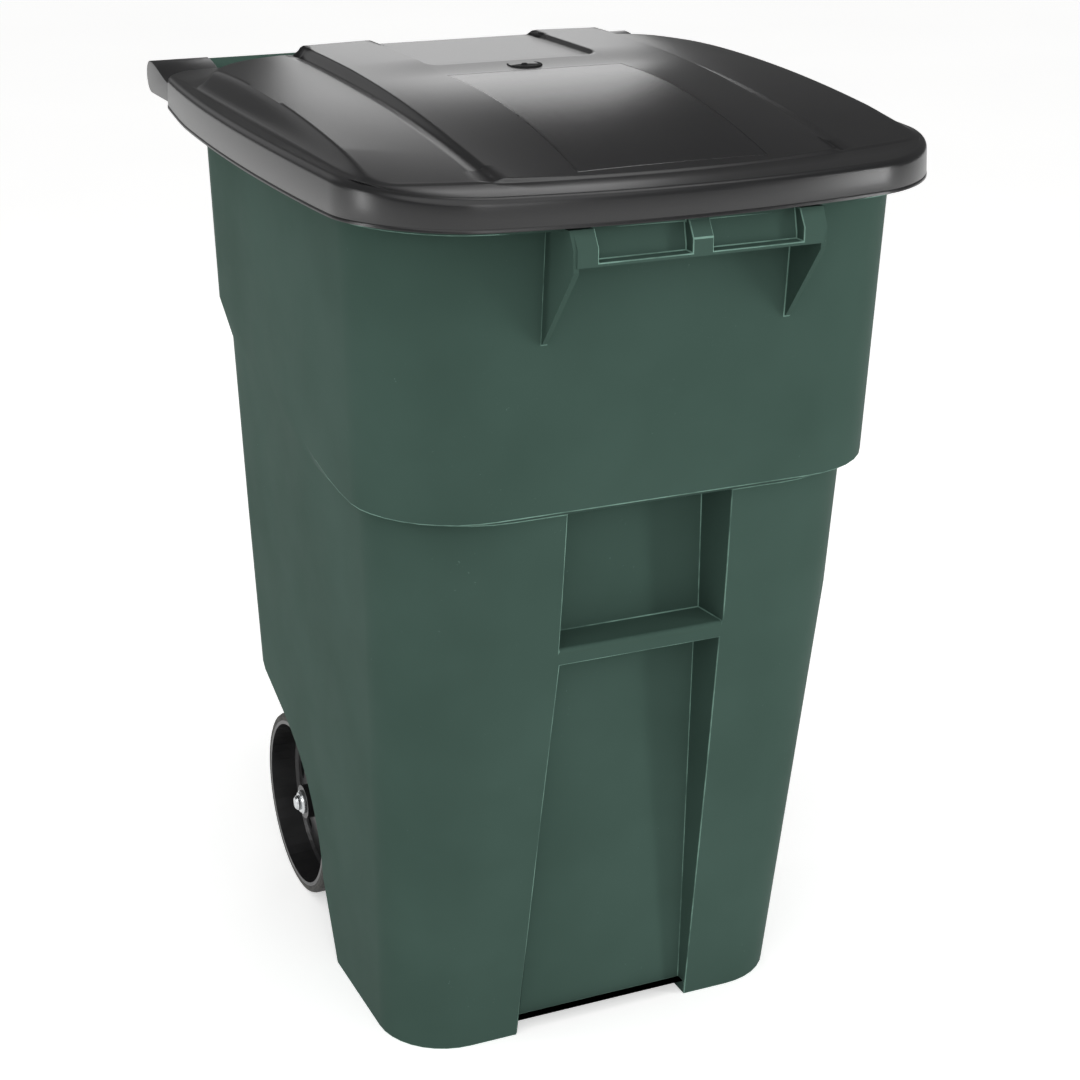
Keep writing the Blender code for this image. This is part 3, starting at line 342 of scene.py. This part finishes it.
def plan(half_width, front, back, front_radius, back_radius, front_bow=0.0, side_bow=0.0):
    """A closed line in plan, close set with points, from the front centre round the right side."""
    front_steps, corner_steps, side_steps, back_corner_steps, back_steps = STEPS
    half = [((half_width - front_radius) * i / front_steps, front) for i in range(front_steps)]
    for i in range(corner_steps):
        angle = math.pi / 2 * i / corner_steps
        half.append((half_width - front_radius * (1 - math.sin(angle)),
                     front + front_radius * (1 - math.cos(angle))))
    for i in range(side_steps):
        half.append((half_width, mix(front + front_radius, back - back_radius, i / side_steps)))
    for i in range(back_corner_steps):
        angle = math.pi / 2 * i / back_corner_steps
        half.append((half_width - back_radius * (1 - math.cos(angle)),
                     back - back_radius * (1 - math.sin(angle))))
    for i in range(back_steps + 1):
        half.append(((half_width - back_radius) * (1 - i / back_steps), back))
    middle = (front + back) / 2
    bowed = []
    for x, y in half:
        along = (y - middle) / (back - middle)
        bend = front_bow * (x / half_width) ** 2 * (back - y) / (back - front)
        bowed.append((x * (1 - side_bow / half_width * along ** 2), y + bend))
    return bowed + [(-x, y) for x, y in reversed(bowed[1:-1])]


def lid_plan(inset):
    return plan(HALF_WIDTH - inset, FRONT_Y + inset, BACK_Y - inset, 0.096 - inset, 0.045 - inset,
                0.035, 0.0165)


def crown_plan(side, front, back):
    """The crown's crease, moved outwards by its three outsets."""
    return plan(CREASE_HALF + side, CREASE_FRONT_Y - front, CREASE_BACK_Y + back, CREASE_CORNER + side,
                0.035 + side, CREASE_BOW)


def lift(y):
    """The lid's rim rises a little towards the back."""
    return 0.0125 * (y - FRONT_Y)


def skirt_low(x, y):
    """The skirt's lower edge; it is cut away at the back, where the handle's arms pass."""
    low = 0.848 - 0.0015 * eased(y, -0.330, -0.200) + 0.006 * eased(y, 0.180, BACK_Y)
    if y > 0.300:
        return mix(skirt_top(y) - 0.006, low, eased(abs(x), 0.2085, 0.2125))
    return low


def skirt_top(y):
    """The skirt's top rises to the front corners and falls again along the sides."""
    rise = 0.0015 + 0.0045 * eased(y, -0.350, -0.230) - 0.0045 * eased(y, -0.200, 0.280)
    return 0.8732 + lift(y) + rise


def ledge(y):
    """The foot of the crown: a little over the skirt's top, so that the ledge tilts forwards."""
    return skirt_top(y) + 0.0012


def front_line(x):
    """Where the crown comes down to the front ledge."""
    return CREASE_FRONT_Y + CREASE_BOW * (min(abs(x), CREASE_HALF) / CREASE_HALF) ** 2


def arch_line(y):
    return ARCH_HEIGHT - 0.0243 * ((ARCH_TOP_Y - y) / 0.492) ** 2


def arch(x, y):
    """The crown's side parts: an arch that bends down to the front ledge."""
    end = front_line(x)
    bend = arch_line(end) - ledge(end) - CROWN_FOOT
    return arch_line(y) - bend * (max(ARCH_BEND_Y - y, 0.0) / (ARCH_BEND_Y - end)) ** 2


def crease(x, y):
    """The crown's edge at the sides."""
    fall = 0.053 if y > CREASE_TOP_Y else 0.0355
    return max(CREASE_HEIGHT - fall * ((y - CREASE_TOP_Y) / CREASE_REACH) ** 2, ledge(y) + CROWN_FOOT)


def middle(x, y):
    """The raised middle, which runs level and then down to the front ledge."""
    end = front_line(x)
    drop = MIDDLE_HEIGHT - ledge(end) - 0.0022
    floor = MIDDLE_HEIGHT - drop * (max(MIDDLE_BEND_Y - y, 0.0) / (MIDDLE_BEND_Y - end)) ** 2
    level = floor + 0.0042 * eased(y, -0.020, 0.060)
    # The shallow pocket at the back, with round front corners
    aside = max(abs(x) - POCKET_HALF + POCKET_CORNER, 0.0)
    ahead = max(POCKET_FRONT_Y + POCKET_CORNER - y, 0.0)
    outside = math.hypot(aside, ahead) - POCKET_CORNER
    return mix(floor, level, eased(outside, -POCKET_SLOPE, 0.0))


def crown(x, y):
    """The arched top, its raised middle with a stepped edge, and the pocket at the back."""
    across = abs(x) + STEP_TAPER * (max(-0.020 - y, 0.0) / 0.263) ** 2
    top = arch(x, y)
    if across >= STEP_OUT:
        share = min((across - STEP_OUT) / (CREASE_HALF - STEP_OUT), 1.0)
        # A soft dip along the foot of the step
        dip = 0.0010 * (1 - eased(across, STEP_OUT + 0.001, STEP_OUT + 0.009))
        return mix(top, min(crease(x, y), top), share * share) - dip
    edge = top + mix(0.0018, 0.0078, eased(y, -0.310, 0.080))
    if across >= STEP_IN:
        return mix(edge, top - 0.0010, eased(across, STEP_IN, STEP_OUT))
    inner = middle(x, y)
    if across >= POCKET_HALF:
        return mix(inner, edge, (across - POCKET_HALF) / (STEP_IN - POCKET_HALF))
    return inner


def lid_skin(wall, inner_rings):
    """The rings of one skin, from the skirt's lower edge to the lid's middle line."""
    outline = lid_plan(wall)
    rings = [[(x, y, skirt_low(x, y)) for x, y in outline]]
    if not wall:
        for inset, rise in ((0.0, 0.0022), (0.0006, 0.0029), (0.0003, 0.0036)):
            rings.append([(x, y, min(skirt_low(x, y) + rise, skirt_top(y) - 0.0055))
                          for x, y in lid_plan(inset)])
    radius = EDGE_RADIUS - wall / 2
    shoulder = 0.0012 + wall
    for step in range(7):
        angle = math.pi / 2 * step / 6
        inset = shoulder + radius * (1 - math.cos(angle))
        drop = wall + radius * (1 - math.sin(angle))
        rings.append([(x, y, max(skirt_top(y) - drop, skirt_low(x, y) + 0.0002 * step))
                      for x, y in lid_plan(inset)])
    inner_edge = lid_plan(shoulder + radius)
    foot = crown_plan(0.011 - wall, 0.005 - wall, 0.050 - wall)
    rings.append([(mix(a[0], b[0], 0.5), mix(a[1], b[1], 0.5),
                   ledge(mix(a[1], b[1], 0.5)) - wall - 0.0006) for a, b in zip(inner_edge, foot)])
    line = crown_plan(0.0, 0.0, 0.0)
    for step in range(9):
        share = step / 8
        outset = 1 - share
        outer = crown_plan(0.011 * outset - wall, 0.005 * outset - wall, 0.050 * outset - wall)
        rise = mix(share, share * share * (3 - 2 * share), 0.55)
        rings.append([(x, y, mix(ledge(y), crown(cx, cy), rise) - wall)
                      for (x, y), (cx, cy) in zip(outer, line)])
    line = crown_plan(-wall, -wall, -wall)
    for start, end, steps in RING_ZONES if not wall else ((0.0, 1.0, inner_rings),):
        for step in range(1, steps + 1):
            share = mix(start, end, step / steps)
            ring = []
            for x, y in line:
                x, y = x * (1 - share), mix(y, min(max(y, -0.250), 0.120), share)
                ring.append((x, y, crown(x, y) - wall))
            rings.append(ring)
    return rings


def make_lid():
    """The lid's shell, set close with points so that its soft curves stay soft.

    The crown has no start in a plain primitive, so its lines are laid out ring by ring.
    """
    builder = bmesh.new()
    skins = []
    for wall, inner_rings in ((0.0, 0), (WALL, 30)):
        skins.append([[builder.verts.new(point) for point in ring] for ring in lid_skin(wall, inner_rings)])
    rows = list(reversed(skins[0])) + skins[1]
    count = len(rows[0])
    for first, second in zip(rows, rows[1:]):
        for i in range(count):
            j = (i + 1) % count
            builder.faces.new((first[i], first[j], second[j], second[i]))
    bmesh.ops.remove_doubles(builder, verts=builder.verts, dist=0.00002)
    bmesh.ops.recalc_face_normals(builder, faces=builder.faces)
    lid = new_piece("lid_moulding", builder, LID_PLASTIC, "lid")
    only(lid)
    bpy.ops.object.shade_smooth_by_angle(angle=math.radians(50.0))
    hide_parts("lid")


def make_knuckles():
    """The two arms that carry the lid's pins: a bar that ends round on the hinge, with soft edges."""
    inner, outer, radius, reach_forward = 0.2083, 0.2692, 0.016, 0.075
    for label, side in (("left", -1), ("right", 1)):
        bpy.ops.object.select_all(action="DESELECT")
        bpy.ops.mesh.primitive_cylinder_add(vertices=64, radius=radius, depth=outer - inner,
                                            location=(side * (inner + outer) / 2, *HINGE),
                                            rotation=(0.0, math.radians(90.0), 0.0))
        knuckle = bpy.context.object
        knuckle.name = f"lid_knuckle_{label}"
        bpy.ops.object.transform_apply(location=True, rotation=True, scale=True)
        for vertex in knuckle.data.vertices:
            if vertex.co.y < HINGE[0] - 0.001:
                reach = (HINGE[0] - vertex.co.y) / radius
                height = vertex.co.z - HINGE[1]
                front_z = -0.0155 if height < 0 else 0.003
                share = eased(reach, 0.0, 1.0)
                vertex.co.y = HINGE[0] - mix(0.0, reach_forward, reach)
                vertex.co.z = HINGE[1] + mix(radius if height > 0 else -radius, front_z, share)
        only(knuckle)
        bevel = knuckle.modifiers.new("soft edges", "BEVEL")
        bevel.width = 0.0028
        bevel.segments = 4
        bevel.limit_method = "ANGLE"
        bevel.angle_limit = math.radians(50.0)
        bpy.ops.object.modifier_apply(modifier=bevel.name)
        bpy.ops.object.shade_smooth_by_angle(angle=math.radians(40.0))
        finished(knuckle, LID_PLASTIC, "lid")


def make_gate_mark():
    """The round mark in the lid's middle where the mould was filled: a shallow dish with a nub."""
    profile = ((0.0, 0.0016), (0.0022, 0.0014), (0.0034, 0.0004), (0.0140, 0.0002), (0.0152, 0.0008),
               (0.0166, 0.0008), (0.0174, -0.0012), (0.0, -0.0012))
    builder = bmesh.new()
    verts = [builder.verts.new((radius, 0.0, z)) for radius, z in profile]
    edges = [builder.edges.new(pair) for pair in zip(verts, verts[1:])]
    bmesh.ops.spin(builder, geom=verts + edges, axis=(0.0, 0.0, 1.0), cent=(0.0, 0.0, 0.0),
                   angle=2 * math.pi, steps=64, use_merge=True)
    bmesh.ops.remove_doubles(builder, verts=builder.verts, dist=0.00002)
    bmesh.ops.translate(builder, verts=builder.verts, vec=(0.0, 0.004, 0.9172))
    bmesh.ops.recalc_face_normals(builder, faces=builder.faces)
    mark = new_piece("lid_gate_mark", builder, CUT_PLASTIC, "lid")
    only(mark)
    bpy.ops.object.shade_smooth_by_angle(angle=math.radians(35.0))


def bevel_where(piece, chosen, width, segments):
    """Round the edges that a test on their two ends picks."""
    only(piece)
    bpy.ops.object.mode_set(mode="EDIT")
    bpy.ops.mesh.select_mode(type="EDGE")
    bpy.ops.mesh.select_all(action="DESELECT")
    bpy.ops.object.mode_set(mode="OBJECT")
    verts = piece.data.vertices
    for edge in piece.data.edges:
        if chosen(*(verts[i].co for i in edge.vertices)):
            edge.select = True
    bpy.ops.object.mode_set(mode="EDIT")
    bpy.ops.mesh.bevel(offset=width, segments=segments, affect="EDGES", clamp_overlap=True)
    bpy.ops.object.mode_set(mode="OBJECT")


def make_tub():
    """The tub from its frame form, with its edges rounded as the mould leaves them."""
    tub = bpy.data.objects.new("tub_moulding", nodes["tub"].data.copy())
    bpy.context.scene.collection.objects.link(tub)
    only(tub)
    bpy.ops.object.mode_set(mode="EDIT")
    bpy.ops.mesh.select_all(action="SELECT")
    bpy.ops.mesh.remove_doubles(threshold=0.00001)
    bpy.ops.mesh.customdata_custom_splitnormals_clear()
    bpy.ops.mesh.dissolve_limited(angle_limit=math.radians(0.2))
    bpy.ops.object.mode_set(mode="OBJECT")

    def shelf_lip(a, b):
        return all(abs(p.z - 0.444) < 0.0008 and p.y < -0.250 and abs(p.x) < 0.087 for p in (a, b))

    bevel_where(tub, shelf_lip, 0.004, 4)
    # Every corner edge is rounded, except the cramped ones that meet the ends of the lift bar
    builder = bmesh.new()
    builder.from_mesh(tub.data)
    weight = builder.edges.layers.float.new("bevel_weight_edge")
    for edge in builder.edges:
        cramped = any(abs(abs(v.co.x) - 0.1130) < 0.0040 and v.co.y < -0.335 and 0.808 < v.co.z < 0.848
                      for v in edge.verts)
        corner = edge.calc_face_angle(0.0) > math.radians(28.0)
        edge[weight] = 1.0 if corner and not cramped else 0.0
    builder.to_mesh(tub.data)
    builder.free()
    # The second slot marks the bevel's faces until they are written down for the painted edge highlight
    tub.data.materials.clear()
    for finish in (TUB_PLASTIC, TUB_PLASTIC):
        tub.data.materials.append(finish)
    for face in tub.data.polygons:
        face.material_index = 0
    bevel = tub.modifiers.new("moulded edges", "BEVEL")
    bevel.material = 1
    bevel.width = 0.0009
    bevel.segments = 3
    bevel.limit_method = "WEIGHT"
    bevel.use_clamp_overlap = False
    bpy.ops.object.modifier_apply(modifier=bevel.name)
    # The bevel's faces are listed for the painted edge highlight in the tub's material
    painted_edge_highlight = tub.data.attributes.new("painted_edge_highlight", "FLOAT", "FACE")
    for face, value in zip(tub.data.polygons, painted_edge_highlight.data):
        value.value = 1.0 if face.material_index else 0.0
    bpy.ops.object.shade_smooth_by_angle(angle=math.radians(40.0))
    weighted = tub.modifiers.new("flat faces stay flat", "WEIGHTED_NORMAL")
    weighted.keep_sharp = True
    weighted.weight = 80
    bpy.ops.object.modifier_apply(modifier=weighted.name)
    finished(tub, TUB_PLASTIC, "tub")
    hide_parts("tub")


make_lid()
make_knuckles()
make_gate_mark()
make_tub()


# Camera, floor and light

def make_camera():
    """The photograph's camera, found by fitting the can's corners to it."""
    data = bpy.data.cameras.new("camera")
    data.lens = 74.73
    data.sensor_width = 36.0
    camera = bpy.data.objects.new("camera", data)
    camera.location = (-0.833359, -1.933029, 1.245493)
    camera.rotation_euler = [math.radians(angle) for angle in (69.176, 0.014, -23.675)]
    bpy.context.scene.collection.objects.link(camera)
    bpy.context.scene.camera = camera


def make_floor():
    bpy.ops.object.select_all(action="DESELECT")
    bpy.ops.mesh.primitive_circle_add(vertices=96, radius=16.0, fill_type="NGON", location=(0.0, 0.0, 0.0))
    floor = bpy.context.object
    floor.name = "studio_floor"
    floor.data.materials.append(make_floor_material())


def make_lamp(name, place, target, width, height, power):
    """A soft rectangular lamp that faces a target."""
    data = bpy.data.lights.new(name, "AREA")
    data.shape = "RECTANGLE"
    data.size = width
    data.size_y = height
    data.energy = power
    lamp = bpy.data.objects.new(name, data)
    lamp.location = place
    lamp.rotation_euler = (Vector(target) - Vector(place)).to_track_quat("-Z", "Y").to_euler()
    bpy.context.scene.collection.objects.link(lamp)


def make_lights():
    """A wide soft light from overhead, a narrow strip on either side and a softbox at the front for
    the skirt's highlights, and two low softboxes behind, whose sheen runs over the lid's top."""
    sun = bpy.data.lights.new("overhead", "SUN")
    sun.energy = 1.6
    sun.angle = math.radians(80.0)
    overhead = bpy.data.objects.new("overhead", sun)
    overhead.rotation_euler = Vector((0.30, 0.50, -0.81)).to_track_quat("-Z", "Y").to_euler()
    bpy.context.scene.collection.objects.link(overhead)
    make_lamp("left_strip", (-2.97, 0.42, 0.95), (0.0, 0.0, 0.6), 0.35, 1.9, 18.0)
    make_lamp("front_softbox", (-0.4, -3.4, 1.5), (0.0, 0.0, 0.6), 1.6, 1.4, 17.0)
    make_lamp("right_strip", (2.37, -1.99, 0.95), (0.0, 0.0, 0.6), 0.35, 1.9, 27.0)
    make_lamp("top_softbox", (0.6, 0.2, 2.9), (0.0, -0.2, 0.9), 1.6, 0.8, 8.0)
    make_lamp("back_softbox", (1.02, 2.70, 1.62), (0.0, 0.0, 0.9), 0.9, 1.15, 4.8)
    make_lamp("back_left_softbox", (-0.95, 2.60, 1.90), (0.0, 0.0, 0.9), 1.6, 1.4, 2.6)
    world = bpy.context.scene.world or bpy.data.worlds.new("studio")
    bpy.context.scene.world = world
    world.use_nodes = True
    background = world.node_tree.nodes["Background"]
    background.inputs["Color"].default_value = linear("#ffffff")
    background.inputs["Strength"].default_value = 0.12


make_camera()
make_floor()
make_lights()
bpy.context.scene.view_settings.view_transform = "Standard"
